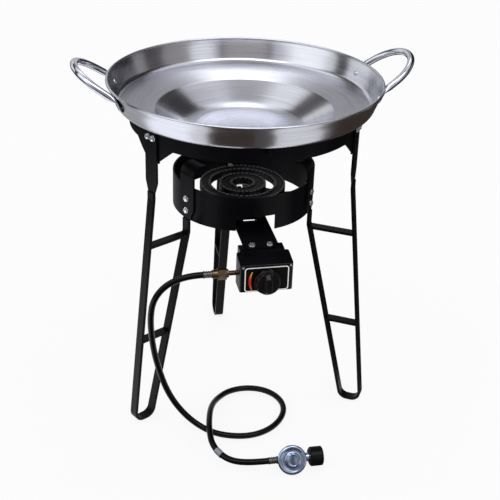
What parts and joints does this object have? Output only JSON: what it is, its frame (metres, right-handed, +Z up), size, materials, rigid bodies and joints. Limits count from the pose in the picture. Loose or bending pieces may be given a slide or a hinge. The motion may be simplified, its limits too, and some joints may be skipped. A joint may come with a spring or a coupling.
{
  "type": "outdoor gas burner stand",
  "caption": "Tripod outdoor gas burner stand with a lift-off stainless pan, toothed cast burner, front control knob, rubber hose and gas regulator.",
  "frame": {"origin": "on the floor under the axis of the hoop and the burner ring", "axes": "+Z up, -Y to the front where the knob is, +X to the right seen from the front"},
  "size_m": [0.6962, 0.6788, 0.7654],
  "materials": {
    "stainless": "brushed",
    "handle_steel": "polished",
    "black_paint": "gloss",
    "zinc": "zinc plated",
    "cast_iron": "matt",
    "fascia": "gloss",
    "brass": "aged",
    "pipe": "satin",
    "knob_plastic": "satin",
    "ferrule_steel": "crimped",
    "hose_rubber": "satin",
    "regulator_zinc": "satin",
    "nut_plastic": "matt"
  },
  "bodies": {
    "stand": {"top_hoop": "black_paint", "burner_ring": "black_paint", "burner_strap": "black_paint", "control_bracket": "black_paint", "control_cover": "black_paint", "hoop_plate_left": "black_paint", "hoop_plate_right": "black_paint", "hoop_plate_rear": "black_paint", "ring_plate_left": "black_paint", "ring_plate_right": "black_paint", "ring_plate_rear": "black_paint", "leg_bar_left": "black_paint", "leg_bar_right": "black_paint", "leg_bar_rear": "black_paint", "upper_rung_left": "black_paint", "upper_rung_right": "black_paint", "upper_rung_rear": "black_paint", "lower_rung_left": "black_paint", "lower_rung_right": "black_paint", "lower_rung_rear": "black_paint", "hoop_bolts": "zinc", "hoop_nuts": "zinc", "ring_bolts": "zinc", "ring_nuts": "zinc", "burner_bolts": "zinc", "bracket_screws": "zinc", "bracket_bolts": "zinc", "bracket_nuts": "zinc", "fascia_screws": "zinc", "burner_body": "cast_iron", "burner_outer_cap": "cast_iron", "burner_inner_cap": "cast_iron", "fascia_panel": "fascia", "valve_body": "brass", "jets": "brass", "inlet_nipple": "brass", "inlet_union": "brass", "regulator_nipple": "brass", "gas_pipe_left": "pipe", "gas_pipe_right": "pipe", "hose_ferrule_inlet": "ferrule_steel", "hose_ferrule_regulator": "ferrule_steel", "gas_hose": "hose_rubber", "regulator_body": "regulator_zinc", "regulator_bonnet": "regulator_zinc", "regulator_cap": "regulator_zinc"},
    "pan": {"pan": "stainless", "handle_left": "handle_steel", "handle_right": "handle_steel", "handle_rivets": "handle_steel"},
    "plunger": {"valve_plunger": "brass"},
    "knob": {"valve_stem": "brass", "knob": "knob_plastic"},
    "nut": {"coupling_nut": "nut_plastic"}
  },
  "joints": [
    {"name": "pan_lift", "type": "slide", "parent": "stand", "child": "pan", "axis": [0, 0, 1], "range_m": [0, 0.25]},
    {"name": "knob_push", "type": "slide", "parent": "stand", "child": "plunger", "axis": [0, 1, 0], "range_m": [0, 0.003], "stiffness_N_per_m": 600, "springref_m": -0.004},
    {"name": "knob_turn", "type": "hinge", "parent": "plunger", "child": "knob", "pos_m": [0, -0.27, 0.397], "axis": [0, -1, 0], "range_deg": [0, 180]},
    {"name": "coupling_nut_spin", "type": "hinge", "parent": "stand", "child": "nut", "pos_m": [0.1045, -0.35, 0.0205], "axis": [1, 0, 0], "continuous": true}
  ]
}
